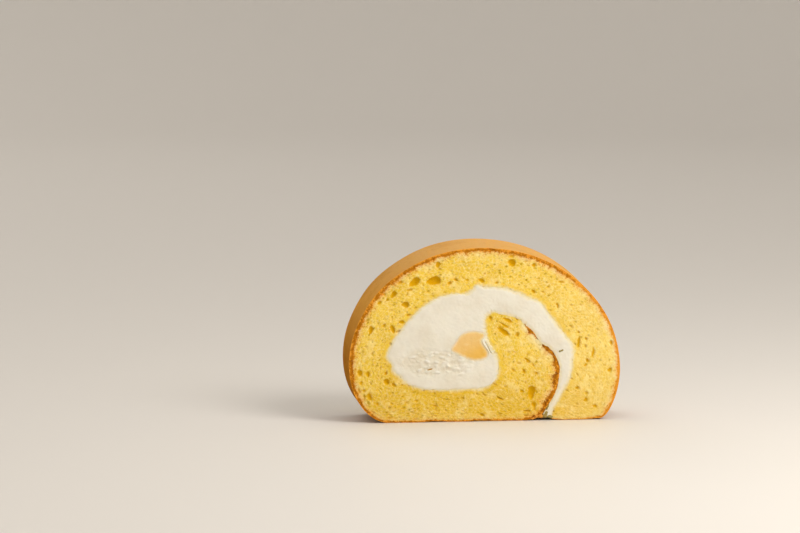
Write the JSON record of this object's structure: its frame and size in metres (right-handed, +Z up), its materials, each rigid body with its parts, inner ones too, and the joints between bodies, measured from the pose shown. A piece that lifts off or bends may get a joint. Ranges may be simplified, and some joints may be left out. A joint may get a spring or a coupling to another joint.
{
  "type": "swiss roll cake",
  "caption": "Upright slice of swiss roll cake: a browned sponge sheet rolled round whipped cream with a custard core, on a flat base.",
  "frame": {"origin": "middle of the slice's box, at the height of the flat base it stands on", "axes": "+X along the width of the cut face, towards the seam of the roll; +Y through the slice's thickness, away from the front cut face; +Z up"},
  "size_m": [0.1008, 0.022, 0.0653],
  "materials": {
    "sponge": "open yellow sponge crumb with fine pores and a few large air bubbles; a thin matte skin, browned tan to deep brown, round the outside",
    "cream": "whipped cream, warm white, softly grained where the knife dragged it",
    "custard": "smooth pale orange custard, faintly moist"
  },
  "bodies": {
    "root": {"sponge": "sponge", "cream": "cream", "custard": "custard"}
  },
  "joints": []
}
